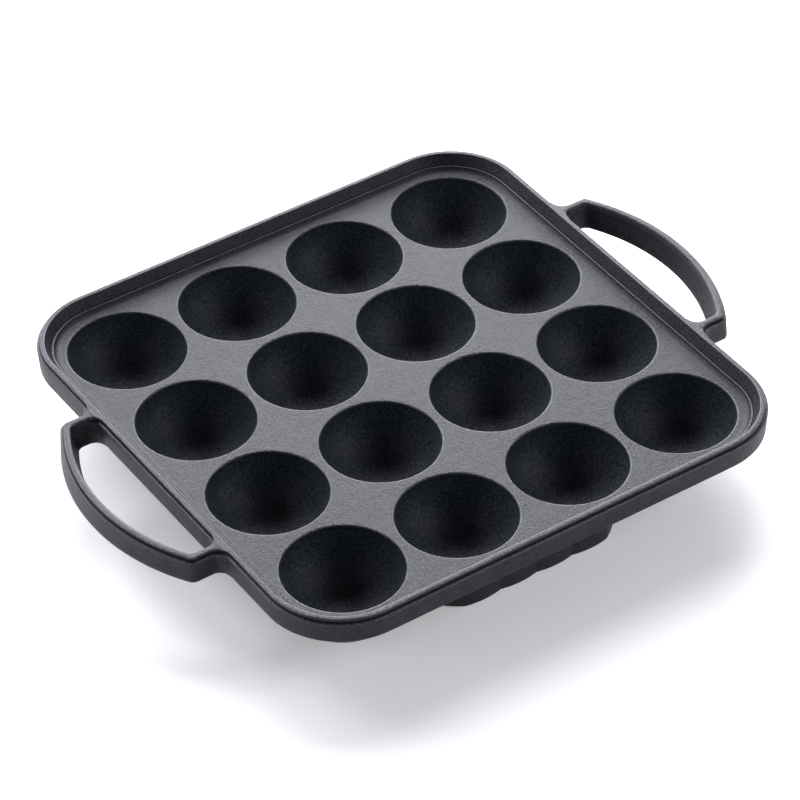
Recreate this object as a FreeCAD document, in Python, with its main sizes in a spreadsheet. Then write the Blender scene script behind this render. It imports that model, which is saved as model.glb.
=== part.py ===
"""Takoyaki maker: a square cast-iron pan with sixteen half-round cups, a stepped rim and two loop handles.

Millimetres, +Z up. The origin is on the surface that the pan stands on, under the middle of the cups.
+X runs through the handles. The real pan is one casting. Here each section of it is a solid of its own,
and neighbours meet face to face.
"""

import FreeCAD, Part
import math
import os

import Sketcher

V = FreeCAD.Vector

SHEET_NAME = "Sizes"

# Every size that can be set by itself: alias, value, what it is.
DRIVING_SIZES = [
    ("cups_per_side", 4, "cups along each side of the square grid"),
    ("cup_radius", 22.4, "inside radius of a cup, which is a half ball"),
    ("mouth_round", 0.8, "radius of the rounded edge round each cup's mouth"),
    ("land_width", 2.6, "flat deck left between two neighbouring mouths"),
    ("cup_wall", 3.3, "wall of a cup"),
    ("plate_thickness", 4.4, "deck and rim from the deck's top to their underside"),
    ("deck_border", 1.3, "flat deck between the outer mouths and the rim"),
    ("rim_width", 8.5, "rim from the edge of the deck to the outer wall"),
    ("outer_corner", 31.0, "plan radius of the outer wall's corners"),
    ("wall_draft", 0.5, "how far the outer wall leans in from its shoulder to its lower edge"),
    ("cove_width", 2.4, "hollow curve from the deck up to the ledge, its width"),
    ("ledge_height", 1.7, "ledge inside the rim, above the deck"),
    ("ledge_width", 0.8, "flat top of that ledge"),
    ("rim_height", 5.9, "top of the lip above the deck"),
    ("lip_width", 1.8, "flat top of the lip"),
    ("step_width", 1.2, "shoulder outside the lip, also on both sides of a handle's cap"),
    ("step_drop", 1.5, "shoulder below the top of the lip"),
    ("lip_round", 0.4, "rounding of the lip's edges"),
    ("shoulder_round", 0.7, "rounding of the shoulder's edges"),
    ("handle_reach", 25.7, "outer wall to the crown of a handle's bow"),
    ("arm_reach", 11.9, "outer wall to the corner between arm and bow"),
    ("arm_half", 45.8, "middle line of the pan to the outer face of an arm"),
    ("band_width", 3.9, "a handle's band in plan, at its shoulder"),
    ("band_edge", 1.4, "upright stretch of a band right under its shoulder"),
    ("band_draft", 0.5, "how far a band's outer faces lean out from shoulder to lower edge"),
    ("grip_draft", 2.6, "how far a band's inner faces lean into the loop on the same way down"),
    ("bend_round", 3.4, "outer corner between arm and bow"),
    ("grip_round", 3.4, "inner corner between arm and bow"),
    ("root_round", 4.2, "hollow corner between arm and outer wall"),
    ("foot_setback", 18.0, "outer wall of the rim to the flat sides of the foot"),
    ("foot_drop", 3.5, "how far the foot reaches below the cups' domes"),
    ("foot_wall", 4.0, "wall of the foot"),
    ("flute_width", 15.8, "one flute on a long side of the foot"),
    ("flute_depth", 1.0, "how far a flute bulges out"),
    ("side_flutes", 4, "flutes on each side of the foot that faces the pan's edge"),
    ("corner_flutes", 5, "flutes on each side of the foot that cuts a corner"),
]

QUARTERS = 4
HALF_SQUARE_CORNER = 45

doc = FreeCAD.newDocument("takoyaki_maker")


class Size:
    """A size with the sheet expression that it comes from, so that a sketch can be bound to it."""

    def __init__(self, value, text):
        self.value = float(value)
        self.text = text

    def __add__(self, other):
        other = as_size(other)
        return Size(self.value + other.value, f"({self.text} + {other.text})")

    def __sub__(self, other):
        other = as_size(other)
        return Size(self.value - other.value, f"({self.text} - {other.text})")

    def __mul__(self, other):
        other = as_size(other)
        return Size(self.value * other.value, f"({self.text} * {other.text})")

    def __truediv__(self, other):
        other = as_size(other)
        return Size(self.value / other.value, f"({self.text} / {other.text})")

    def __neg__(self):
        return Size(-self.value, f"(0 - {self.text})")

    def root(self):
        """The square root."""
        return Size(math.sqrt(self.value), f"sqrt({self.text})")


def as_size(number):
    """A plain number as a size, or a size as it is."""
    return number if isinstance(number, Size) else Size(number, repr(number))


def leg(longest, other):
    """The second short side of a right-angled triangle."""
    return (longest * longest - other * other).root()


def circle_through(rise, half_chord):
    """Radius of the circle that rises by `rise` in the middle of a chord."""
    return (half_chord * half_chord + rise * rise) / (rise * 2)


def make_sheet():
    """Writes the driving sizes into the sheet and returns them as sizes by name."""
    sheet = doc.addObject("Spreadsheet::Sheet", SHEET_NAME)
    sizes = {}
    for row, (alias, value, meaning) in enumerate(DRIVING_SIZES, start=1):
        sheet.set(f"A{row}", str(value))
        sheet.setAlias(f"A{row}", alias)
        sheet.set(f"B{row}", meaning)
        sizes[alias] = Size(value, f"{SHEET_NAME}.{alias}")
    doc.recompute()
    return sizes


S = make_sheet()

# Sizes that follow from the driving ones.
PITCH = (S["cup_radius"] + S["mouth_round"]) * 2 + S["land_width"]
GRID_SPAN = PITCH * (S["cups_per_side"] - 1)
GRID_HALF = GRID_SPAN / 2
DECK_HALF = GRID_HALF + S["cup_radius"] + S["mouth_round"] + S["deck_border"]
OUTER_HALF = DECK_HALF + S["rim_width"]
DECK_CORNER = S["outer_corner"] - S["rim_width"]
DOME_RADIUS = S["cup_radius"] + S["cup_wall"]
DOME_DEPTH = S["mouth_round"] + DOME_RADIUS
DECK_HEIGHT = DOME_DEPTH + S["foot_drop"]
SHOULDER = S["rim_height"] - S["step_drop"]
LIP_OUTSIDE = OUTER_HALF - S["step_width"]
FOOT_HALF = OUTER_HALF - S["foot_setback"]
FOOT_HEIGHT = DECK_HEIGHT - S["plate_thickness"]
CUPS = int(S["cups_per_side"].value)
ROOT_2 = Size(math.sqrt(2), "sqrt(2)")
TAN_22 = Size(math.tan(math.radians(22.5)), "tan(22.5 deg)")


class Outline:
    """A closed outline drawn edge by edge, with every corner and radius bound to the sheet."""

    def __init__(self, sketch, x, y):
        self.sketch = sketch
        self.start = (as_size(x), as_size(y))
        self.here = self.start
        self.edges = []
        self.corners = []

    def line(self, x, y):
        """A straight edge to x, y."""
        target = (as_size(x), as_size(y))
        self.edges.append(Part.LineSegment(point(self.here), point(target)))
        self.corners.append((1, 2, self.here, None))
        self.here = target
        return self

    def arc(self, x, y, radius, turn):
        """A round edge to x, y. A turn of +1 runs anticlockwise, -1 clockwise."""
        target = (as_size(x), as_size(y))
        first, last = (self.here, target) if turn > 0 else (target, self.here)
        self.edges.append(small_arc(point(first), point(last), radius.value))
        ends = (1, 2) if turn > 0 else (2, 1)
        self.corners.append((*ends, self.here, radius))
        self.here = target
        return self

    def close(self):
        """Writes edges and constraints into the sketch."""
        first_edge = self.sketch.GeometryCount
        self.sketch.addGeometry(self.edges, False)
        for number, (begin, _, _, radius) in enumerate(self.corners):
            edge = first_edge + number
            before = (number - 1) % len(self.corners)
            join = Sketcher.Constraint(
                "Coincident", first_edge + before, self.corners[before][1], edge, begin
            )
            self.sketch.addConstraint(join)
            if radius is not None:
                bind(self.sketch, Sketcher.Constraint("Radius", edge, radius.value), radius)
        for number, (begin, _, corner, _) in enumerate(self.corners):
            fix_point(self.sketch, first_edge + number, begin, corner)


def point(corner):
    """A corner as a vector."""
    return V(corner[0].value, corner[1].value, 0)


def small_arc(first, last, radius):
    """The arc of less than half a turn that runs anticlockwise from first to last."""
    middle = (first + last) * 0.5
    half = (last - first) * 0.5
    normal = V(-half.y, half.x, 0)
    normal.normalize()
    centre = middle + normal * math.sqrt(max(radius**2 - half.Length**2, 0.0))
    start_angle = math.atan2(first.y - centre.y, first.x - centre.x)
    end_angle = math.atan2(last.y - centre.y, last.x - centre.x)
    return Part.ArcOfCircle(Part.Circle(centre, V(0, 0, 1), radius), start_angle, end_angle)


def bind(sketch, constraint, size):
    """Adds a constraint and binds its value to the sheet."""
    index = sketch.addConstraint(constraint)
    sketch.setExpression(f"Constraints[{index}]", size.text)


def fix_point(sketch, edge, end, corner):
    """Holds one end of an edge at its distances from the sketch's origin."""
    for kind, axis, size in (("DistanceX", -2, corner[0]), ("DistanceY", -1, corner[1])):
        if size.value == 0.0:
            sketch.addConstraint(Sketcher.Constraint("PointOnObject", edge, end, axis))
        else:
            bind(sketch, Sketcher.Constraint(kind, -1, 1, edge, end, size.value), size)


def new_body(label, x=0, y=0, z=DECK_HEIGHT, turn=0):
    """A body whose own origin lies at x, y, z. By default that is the middle of the deck's top."""
    body = doc.addObject("PartDesign::Body", label)
    body.Label = label
    body.Placement = FreeCAD.Placement(V(0, 0, 0), FreeCAD.Rotation(V(0, 0, 1), turn))
    for axis, size in (("x", x), ("y", y), ("z", z)):
        body.setExpression(f"Placement.Base.{axis}", as_size(size).text)
    return body


def origin_part(body, role):
    """An axis or plane of a body's own origin."""
    return next(item for item in body.Origin.OriginFeatures if item.Role == role)


def new_sketch(body, plane, offset=(0, 0, 0), angle=0):
    """A sketch on one of the body's origin planes, shifted and turned in that plane."""
    sketch = body.newObject("Sketcher::SketchObject", f"{body.Label}_sketch")
    sketch.AttachmentSupport = (origin_part(body, plane), [""])
    sketch.MapMode = "FlatFace"
    sketch.AttachmentOffset = FreeCAD.Placement(V(0, 0, 0), FreeCAD.Rotation(V(0, 0, 1), angle))
    for axis, size in zip("xyz", offset):
        sketch.setExpression(f"AttachmentOffset.Base.{axis}", as_size(size).text)
    return sketch


def pad(body, sketch, length, reverse=False):
    """Thickens a sketch, downwards when reversed."""
    feature = body.newObject("PartDesign::Pad", f"{body.Label}_pad")
    feature.Profile = sketch
    feature.Reversed = reverse
    feature.setExpression("Length", length.text)
    body.Tip = feature
    return feature


def turn_about_height(body, sketch, kind):
    """Spins a sketch a full turn about its own upright axis."""
    feature = body.newObject(f"PartDesign::{kind}", f"{body.Label}_turned")
    feature.Profile = sketch
    feature.ReferenceAxis = (sketch, ["V_Axis"])
    feature.Angle = 360
    body.Tip = feature
    return feature


def repeat_over_grid(body, feature):
    """Repeats a cut at every cup, starting from the cup with the lowest x and y."""
    pattern = body.newObject("PartDesign::LinearPattern", f"{body.Label}_grid")
    pattern.Originals = [feature]
    pattern.Direction = (origin_part(body, "X_Axis"), [""])
    pattern.Direction2 = (origin_part(body, "Y_Axis"), [""])
    pattern.setExpression("Length", GRID_SPAN.text)
    pattern.setExpression("Length2", GRID_SPAN.text)
    pattern.setExpression("Occurrences", S["cups_per_side"].text)
    pattern.setExpression("Occurrences2", S["cups_per_side"].text)
    body.Tip = pattern
    return pattern


def round_edges(body, radius, wanted):
    """Rounds the edges of the body's last feature that `wanted` picks."""
    doc.recompute()
    base = body.Tip
    names = [f"Edge{n}" for n, edge in enumerate(base.Shape.Edges, start=1) if wanted(edge)]
    if not names:
        raise RuntimeError(f"{body.Label}: no edge to round")
    feature = body.newObject("PartDesign::Fillet", f"{body.Label}_round")
    feature.Base = (base, names)
    feature.setExpression("Radius", radius.text)
    body.Tip = feature
    return feature


def lies_at(edge, height):
    """Whether an edge lies level at a height."""
    near = 1e-4
    return abs(edge.BoundBox.ZMin - height.value) < near and abs(edge.BoundBox.ZMax - height.value) < near


def rounded_square(sketch, half, corner):
    """A square with round corners about the sketch's origin."""
    flat = half - corner
    outline = Outline(sketch, half, -flat)
    outline.line(half, flat)
    outline.arc(flat, half, corner, 1)
    outline.line(-flat, half)
    outline.arc(-half, flat, corner, 1)
    outline.line(-half, -flat)
    outline.arc(-flat, -half, corner, 1)
    outline.line(flat, -half)
    outline.arc(half, -flat, corner, 1)
    outline.close()


def first_cup_sketch(body):
    """An upright sketch through the middle of the cup with the lowest x and y."""
    return new_sketch(body, "XZ_Plane", offset=(-GRID_HALF, 0, GRID_HALF))


def make_deck_plate():
    """The flat deck with a round-edged mouth over each cup."""
    body = new_body("deck_plate")
    plan = new_sketch(body, "XY_Plane")
    rounded_square(plan, DECK_HALF, DECK_CORNER)
    pad(body, plan, S["plate_thickness"], reverse=True)

    sketch = first_cup_sketch(body)
    depth_below_centre = S["plate_thickness"] - S["mouth_round"]
    hole_at_underside = leg(S["cup_radius"], depth_below_centre)
    mouth = Outline(sketch, 0, 0)
    mouth.line(0, -S["plate_thickness"])
    mouth.line(hole_at_underside, -S["plate_thickness"])
    mouth.arc(S["cup_radius"], -S["mouth_round"], S["cup_radius"], 1)
    mouth.arc(S["cup_radius"] + S["mouth_round"], 0, S["mouth_round"], -1)
    mouth.line(0, 0)
    mouth.close()
    cut = turn_about_height(body, sketch, "Groove")
    repeat_over_grid(body, cut)
    return body


def make_rim():
    """The rim: cove, ledge, sloping wall, lip, shoulder and outer wall, carried round the deck."""
    body = new_body("rim")
    path = new_sketch(body, "XY_Plane")
    flat = OUTER_HALF - S["outer_corner"]
    ring = Outline(path, OUTER_HALF, 0)
    ring.line(OUTER_HALF, flat)
    ring.arc(flat, OUTER_HALF, S["outer_corner"], 1)
    ring.line(-flat, OUTER_HALF)
    ring.arc(-OUTER_HALF, flat, S["outer_corner"], 1)
    ring.line(-OUTER_HALF, -flat)
    ring.arc(-flat, -OUTER_HALF, S["outer_corner"], 1)
    ring.line(flat, -OUTER_HALF)
    ring.arc(OUTER_HALF, -flat, S["outer_corner"], 1)
    ring.line(OUTER_HALF, 0)
    ring.close()

    section = new_sketch(body, "XZ_Plane")
    ledge_edge = DECK_HALF + S["cove_width"]
    lip_inside = LIP_OUTSIDE - S["lip_width"]
    profile = Outline(section, DECK_HALF, -S["plate_thickness"])
    profile.line(OUTER_HALF - S["wall_draft"], -S["plate_thickness"])
    profile.line(OUTER_HALF, SHOULDER)
    profile.line(LIP_OUTSIDE, SHOULDER)
    profile.line(LIP_OUTSIDE, S["rim_height"])
    profile.line(lip_inside, S["rim_height"])
    profile.line(ledge_edge + S["ledge_width"], S["ledge_height"])
    profile.line(ledge_edge, S["ledge_height"])
    profile.arc(DECK_HALF, 0, circle_through(S["ledge_height"], S["cove_width"]), -1)
    profile.line(DECK_HALF, -S["plate_thickness"])
    profile.close()

    pipe = body.newObject("PartDesign::AdditivePipe", "rim_pipe")
    pipe.Profile = section
    pipe.Spine = path
    body.Tip = pipe
    round_edges(body, S["lip_round"], lambda edge: lies_at(edge, S["rim_height"]))
    round_edges(body, S["shoulder_round"], is_shoulder_edge)
    return body


def is_shoulder_edge(edge):
    """Whether an edge is the outermost one at the height of the rim's shoulder."""
    box = edge.BoundBox
    reach = max(abs(box.XMin), abs(box.XMax), abs(box.YMin), abs(box.YMax))
    return lies_at(edge, SHOULDER) and reach > LIP_OUTSIDE.value + S["step_width"].value / 2


def cup_letter(column):
    """Columns are lettered from the handle at -X."""
    return "abcdefghijklmnopqrstuvwxyz"[column]


def make_cup(column, row):
    """The dome of one cup below the deck, cut off where it meets its neighbours' domes."""
    label = f"cup_{cup_letter(column)}{row + 1}"
    body = new_body(label, PITCH * column - GRID_HALF, PITCH * row - GRID_HALF)
    below_centre = S["plate_thickness"] - S["mouth_round"]
    sketch = new_sketch(body, "XZ_Plane")
    bowl = Outline(sketch, leg(S["cup_radius"], below_centre), -S["plate_thickness"])
    bowl.arc(0, -(S["mouth_round"] + S["cup_radius"]), S["cup_radius"], -1)
    bowl.line(0, -DOME_DEPTH)
    bowl.arc(leg(DOME_RADIUS, below_centre), -S["plate_thickness"], DOME_RADIUS, 1)
    bowl.line(leg(S["cup_radius"], below_centre), -S["plate_thickness"])
    bowl.close()
    turn_about_height(body, sketch, "Revolution")

    cell = new_sketch(body, "XY_Plane")
    free = DOME_RADIUS + S["cup_wall"]
    near_edge = PITCH / 2
    left = free if column == 0 else near_edge
    right = free if column == CUPS - 1 else near_edge
    front = free if row == 0 else near_edge
    back = free if row == CUPS - 1 else near_edge
    frame_outside = free + S["cup_wall"]
    rectangle(cell, frame_outside, frame_outside, frame_outside, frame_outside)
    rectangle(cell, left, right, front, back)
    trim = body.newObject("PartDesign::Pocket", f"{label}_trim")
    trim.Profile = cell
    trim.Type = "Length"
    trim.setExpression("Length", DOME_DEPTH.text)
    body.Tip = trim
    return body


def rectangle(sketch, left, right, front, back):
    """A rectangle that reaches that far from the sketch's origin each way."""
    outline = Outline(sketch, -left, -front)
    outline.line(right, -front)
    outline.line(right, back)
    outline.line(-left, back)
    outline.line(-left, -front)
    outline.close()


def loop_outline(sketch, inset=0, out=0, into=0, wall=OUTER_HALF):
    """A handle's C-shaped plan: its shoulder's outline drawn in by `inset`, round corners included,
    or with its outer faces moved out by `out` and its inner faces moved into the loop by `into`.
    """
    inset = as_size(inset)
    out = as_size(out) - inset
    into = as_size(into) - inset
    root = LIP_OUTSIDE - S["lip_width"] / 2
    arm_out = S["arm_half"] + out
    arm_in = S["arm_half"] - S["band_width"] - into
    fillet = S["root_round"] + inset
    fillet_end = wall + fillet

    bow_radius = circle_through(S["handle_reach"] - S["arm_reach"], S["arm_half"])
    bow_centre = OUTER_HALF + S["handle_reach"] - bow_radius
    bow_out = bow_radius + out
    bow_in = bow_radius - S["band_width"] - into
    bend = S["bend_round"] - inset
    grip = S["grip_round"] + inset
    bend_x, bend_end = bow_corner(bow_centre, bow_out, arm_out, bend)
    grip_x, grip_end = bow_corner(bow_centre, bow_in, arm_in, grip)

    plan = Outline(sketch, root, -(arm_out + fillet))
    plan.line(wall, -(arm_out + fillet))
    plan.arc(fillet_end, -arm_out, fillet, -1)
    plan.line(bend_x, -arm_out)
    plan.arc(bend_end[0], -bend_end[1], bend, 1)
    plan.arc(bend_end[0], bend_end[1], bow_out, 1)
    plan.arc(bend_x, arm_out, bend, 1)
    plan.line(fillet_end, arm_out)
    plan.arc(wall, arm_out + fillet, fillet, -1)
    plan.line(root, arm_out + fillet)
    plan.line(root, arm_in - fillet)
    plan.line(wall, arm_in - fillet)
    plan.arc(fillet_end, arm_in, fillet, -1)
    plan.line(grip_x, arm_in)
    plan.arc(grip_end[0], grip_end[1], grip, -1)
    plan.arc(grip_end[0], -grip_end[1], bow_in, -1)
    plan.arc(grip_x, -arm_in, grip, -1)
    plan.line(fillet_end, -arm_in)
    plan.arc(wall, -(arm_in - fillet), fillet, -1)
    plan.line(root, -(arm_in - fillet))
    plan.line(root, -(arm_out + fillet))
    plan.close()


def bow_corner(bow_centre, bow_radius, arm, round_radius):
    """Where the rounding between an arm's face and the bow starts on the arm and ends on the bow."""
    across = leg(bow_radius - round_radius, arm - round_radius)
    stretch = bow_radius / (bow_radius - round_radius)
    return bow_centre + across, (bow_centre + across * stretch, (arm - round_radius) * stretch)


def make_handle(label, turn, rim):
    """A loop handle: an upright band with a narrower cap on top, its roots shaped by the rim."""
    loop = new_body(f"{label}_loop", turn=turn)
    band = new_sketch(loop, "XY_Plane", offset=(0, 0, SHOULDER))
    loop_outline(band)
    pad(loop, band, S["band_edge"], reverse=True)
    round_edges(loop, S["shoulder_round"], lambda edge: is_loop_edge(edge, SHOULDER))
    cap = new_sketch(loop, "XY_Plane", offset=(0, 0, SHOULDER))
    loop_outline(cap, inset=S["step_width"], wall=LIP_OUTSIDE)
    pad(loop, cap, S["step_drop"])
    round_edges(loop, S["lip_round"], lambda edge: is_loop_edge(edge, S["rim_height"]))
    upper = new_sketch(loop, "XY_Plane", offset=(0, 0, SHOULDER - S["band_edge"]))
    loop_outline(upper)
    lower = new_sketch(loop, "XY_Plane", offset=(0, 0, -S["plate_thickness"]))
    loop_outline(lower, out=S["band_draft"], into=S["grip_draft"], wall=OUTER_HALF - S["wall_draft"])
    join_outlines(loop, lower, upper)

    handle = doc.addObject("Part::Cut", label)
    handle.Label = label
    handle.Base = loop
    handle.Tool = rim
    return handle


def join_outlines(body, first, last):
    """A solid with straight sides from one outline to another that has as many edges."""
    feature = body.newObject("PartDesign::AdditiveLoft", f"{body.Label}_loft")
    feature.Profile = first
    feature.Sections = [last]
    feature.Ruled = True
    body.Tip = feature
    return feature


def is_loop_edge(edge, height):
    """Whether an edge of a handle lies at a height and reaches out past the rim."""
    return lies_at(edge, height) and edge.BoundBox.XMax > OUTER_HALF.value + S["root_round"].value / 2


def make_foot():
    """The fluted foot: an eight-sided wall under the plate, hollowed where the cups' domes pass."""
    body = new_body("foot")
    plan = new_sketch(body, "XY_Plane", offset=(0, 0, -S["plate_thickness"]))
    side_half = S["flute_width"] * S["side_flutes"] / 2
    eight_sides(plan, FOOT_HALF, side_half)
    inner_side_half = side_half - S["foot_wall"] * TAN_22
    eight_sides(plan, FOOT_HALF - S["foot_wall"], inner_side_half)
    pad(body, plan, FOOT_HEIGHT, reverse=True)

    corner_side = (FOOT_HALF - side_half) * ROOT_2
    corner_distance = (FOOT_HALF + side_half) / ROOT_2
    add_flutes(body, 0, FOOT_HALF, S["flute_width"], S["side_flutes"])
    add_flutes(body, HALF_SQUARE_CORNER, corner_distance, corner_side / S["corner_flutes"], S["corner_flutes"])

    sketch = first_cup_sketch(body)
    centre_depth = S["mouth_round"]
    ball = Outline(sketch, 0, -(centre_depth + DOME_RADIUS))
    ball.arc(DOME_RADIUS, -centre_depth, DOME_RADIUS, 1)
    ball.arc(0, DOME_RADIUS - centre_depth, DOME_RADIUS, 1)
    ball.line(0, -(centre_depth + DOME_RADIUS))
    ball.close()
    cut = turn_about_height(body, sketch, "Groove")
    repeat_over_grid(body, cut)
    return body


def eight_sides(sketch, half, side_half):
    """A square of half-width `half` with its corners cut off, so that each side keeps side_half."""
    outline = Outline(sketch, half, -side_half)
    outline.line(half, side_half)
    outline.line(side_half, half)
    outline.line(-side_half, half)
    outline.line(-half, side_half)
    outline.line(-half, -side_half)
    outline.line(-side_half, -half)
    outline.line(side_half, -half)
    outline.line(half, -side_half)
    outline.close()


def add_flutes(body, angle, distance, width, count):
    """A row of flutes along one side of the foot, repeated on the four sides like it."""
    sketch = new_sketch(body, "XY_Plane", offset=(0, 0, -S["plate_thickness"]), angle=angle)
    first_middle = -(width * (count - 1) / 2)
    left = first_middle - width / 2
    right = first_middle + width / 2
    inside = -(distance - S["foot_wall"] / 2)
    flute = Outline(sketch, left, inside)
    flute.line(left, -distance)
    flute.arc(right, -distance, circle_through(S["flute_depth"], width / 2), 1)
    flute.line(right, inside)
    flute.line(left, inside)
    flute.close()
    first = pad(body, sketch, FOOT_HEIGHT, reverse=True)

    row = body.newObject("PartDesign::LinearPattern", f"{body.Label}_row")
    row.Direction = (sketch, ["H_Axis"])
    row.setExpression("Length", (width * (count - 1)).text)
    row.setExpression("Occurrences", count.text)
    sides = body.newObject("PartDesign::PolarPattern", f"{body.Label}_sides")
    sides.Axis = (origin_part(body, "Z_Axis"), [""])
    sides.Occurrences = QUARTERS
    both = body.newObject("PartDesign::MultiTransform", f"{body.Label}_flutes")
    both.Originals = [first]
    both.Transformations = [row, sides]
    body.Tip = both
    return both


def check_document():
    """Stops if any object failed to compute."""
    failed = [item.Name for item in doc.Objects if {"Invalid", "Error"} & set(item.State)]
    if failed:
        raise RuntimeError(f"failed: {failed}")


def export(parts):
    """Tests each section and writes it to its own file."""
    os.makedirs("parts", exist_ok=True)
    for item in parts:
        shape = item.Shape
        if shape.isNull() or not shape.isValid() or len(shape.Solids) != 1:
            raise RuntimeError(f"{item.Label}: not one valid solid")
        shape.exportStep(f"parts/{item.Label}.step")
        box = shape.optimalBoundingBox(False)
        print(f"{item.Label:13s} {shape.Volume / 1000:8.2f} cm3  faces {len(shape.Faces):3d}"
              f"  x {box.XMin:7.2f} {box.XMax:7.2f}  y {box.YMin:7.2f} {box.YMax:7.2f}"
              f"  z {box.ZMin:6.2f} {box.ZMax:6.2f}")


def main():
    rim = make_rim()
    parts = [make_deck_plate(), rim]
    parts += [make_cup(column, row) for column in range(CUPS) for row in range(CUPS)]
    parts += [make_handle("handle_left", 180, rim), make_handle("handle_right", 0, rim)]
    parts.append(make_foot())
    doc.recompute()
    check_document()
    export(parts)


main()
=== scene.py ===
# %% [markdown]
# # A cast-iron takoyaki pan, section by section
# The pan is one casting: a square deck with sixteen half-round cups, a stepped rim, two loop handles
# and a fluted foot. The solids give each section its size and place. Here every section gets a skin
# that is worked out with numpy, fine enough for round cups and softened edges. All of it is cast iron,
# and the deck and the cups carry painted light below the mouths, a paler tone in the shaded bowls.

# %% Load the fixed frame
import math

import bmesh
import bpy
import numpy as np
from mathutils import Matrix, Vector


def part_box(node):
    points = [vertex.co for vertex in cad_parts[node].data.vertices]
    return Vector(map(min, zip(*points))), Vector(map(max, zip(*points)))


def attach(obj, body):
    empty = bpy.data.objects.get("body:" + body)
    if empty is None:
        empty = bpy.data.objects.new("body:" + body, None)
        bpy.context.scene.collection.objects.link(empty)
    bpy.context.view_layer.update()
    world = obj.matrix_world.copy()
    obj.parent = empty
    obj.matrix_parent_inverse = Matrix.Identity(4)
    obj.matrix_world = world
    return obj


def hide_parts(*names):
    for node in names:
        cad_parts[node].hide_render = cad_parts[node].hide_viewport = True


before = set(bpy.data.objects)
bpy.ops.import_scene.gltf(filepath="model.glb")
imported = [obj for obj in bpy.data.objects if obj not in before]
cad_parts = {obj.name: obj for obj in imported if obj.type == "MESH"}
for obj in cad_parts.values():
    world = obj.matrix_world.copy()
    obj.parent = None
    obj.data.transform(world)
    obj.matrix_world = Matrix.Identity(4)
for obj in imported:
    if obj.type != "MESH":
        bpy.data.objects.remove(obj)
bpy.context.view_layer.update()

print("solids:", sorted(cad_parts))

# %% [markdown]
# ## Sizes
# A casting is drawn from a few sizes. The deck, the rim's top and the handles' reach are read from the
# frame, so the skins can't drift from the solids. The small steps and roundings are the pattern
# maker's own and are written here once, in metres.

# %% Sizes of the pan
MM = 0.001

DECK_LOW, DECK_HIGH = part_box("deck_plate")
DECK_TOP = DECK_HIGH.z
UNDERSIDE = DECK_LOW.z
DECK_HALF = DECK_HIGH.x
CUPS = 4
CELLS = [(column, row) for column in range(CUPS) for row in range(CUPS)]
PITCH = 2 * DECK_HALF / CUPS
MOUTH_ROUND = 0.8 * MM
CUP_RADIUS = 22.4 * MM
CUP_WALL = 3.3 * MM
CUP_CENTRE = DECK_TOP - MOUTH_ROUND
DOME_RADIUS = CUP_RADIUS + CUP_WALL

OUTER_HALF = 106.5 * MM
OUTER_CORNER = 31.0 * MM
FLAT_HALF = OUTER_HALF - OUTER_CORNER
DECK_CORNER = OUTER_CORNER - (OUTER_HALF - DECK_HALF)
WALL_DRAFT = 0.5 * MM
LOW_ROUND = 0.6 * MM
RIM_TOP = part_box("rim")[1].z
STEP_WIDTH = 1.2 * MM
STEP_DROP = 1.5 * MM
STEP_ROUND = 0.15 * MM
SHOULDER = RIM_TOP - STEP_DROP
SHOULDER_ROUND = 0.8 * MM
LIP_OUTSIDE = OUTER_HALF - STEP_WIDTH
LIP_WIDTH = 1.8 * MM
LIP_ROUND = 0.5 * MM
COVE_WIDTH = 2.4 * MM
LEDGE_HEIGHT = 1.7 * MM
LEDGE_WIDTH = 0.8 * MM
LEDGE_ROUND = 0.25 * MM
LEDGE_BACK_ROUND = 0.4 * MM

print(f"deck {2 * DECK_HALF / MM:.1f} mm square, cups {PITCH / MM:.2f} mm apart, "
      f"rim top at {RIM_TOP / MM:.1f} mm")

# %% [markdown]
# ## From numbers to a mesh
# Every section is a sheet of points in rows and columns, like graph paper that has been bent.
# Four neighbouring points make a face. A sheet that comes back to its own start is closed by joining
# its last row or column to the first, and points that fall together, as at a pole, are merged.
# The rubbed look of edges and the painted shade of tight corners come later, but they start here: each
# point can carry a number, its wear, which says how far it sticks out of its section.

# %% Sheets of points into a mesh
MERGE = 1e-7
SHARP = math.radians(38)
WEAR_RADIUS = 0.4 * MM


def sheet_faces(rows, columns, close_rows=False, close_columns=False, start=0):
    """Faces of a sheet, with indices that wrap round where it is closed.

    A face's corners are (i, j), (i, j+1), (i+1, j+1) and (i+1, j)."""
    i = np.arange(rows if close_rows else rows - 1)
    j = np.arange(columns if close_columns else columns - 1)
    i, j = np.meshgrid(i, j, indexing="ij")
    below, right = (i + 1) % rows, (j + 1) % columns
    corners = (i * columns + j, i * columns + right, below * columns + right, below * columns + j)
    return np.stack(corners, axis=-1).reshape(-1, 4) + start


def edge_wear_and_shade(profile):
    """How far each point of a profile sticks out, from -1 in a tight corner to 1 on a tight edge.

    It is the turn at the point over the length beside it, times a wear radius, cut off at -1 and 1."""
    profile = np.array(profile, float)
    ahead = np.roll(profile, -1, axis=0) - profile
    behind = profile - np.roll(profile, 1, axis=0)
    across = behind[:, 0] * ahead[:, 1] - behind[:, 1] * ahead[:, 0]
    turn = np.arctan2(across, (behind * ahead).sum(axis=1))
    length = (np.hypot(*ahead.T) + np.hypot(*behind.T)) / 2
    return np.clip(turn / np.maximum(length, MERGE) * WEAR_RADIUS, -1, 1)


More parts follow.
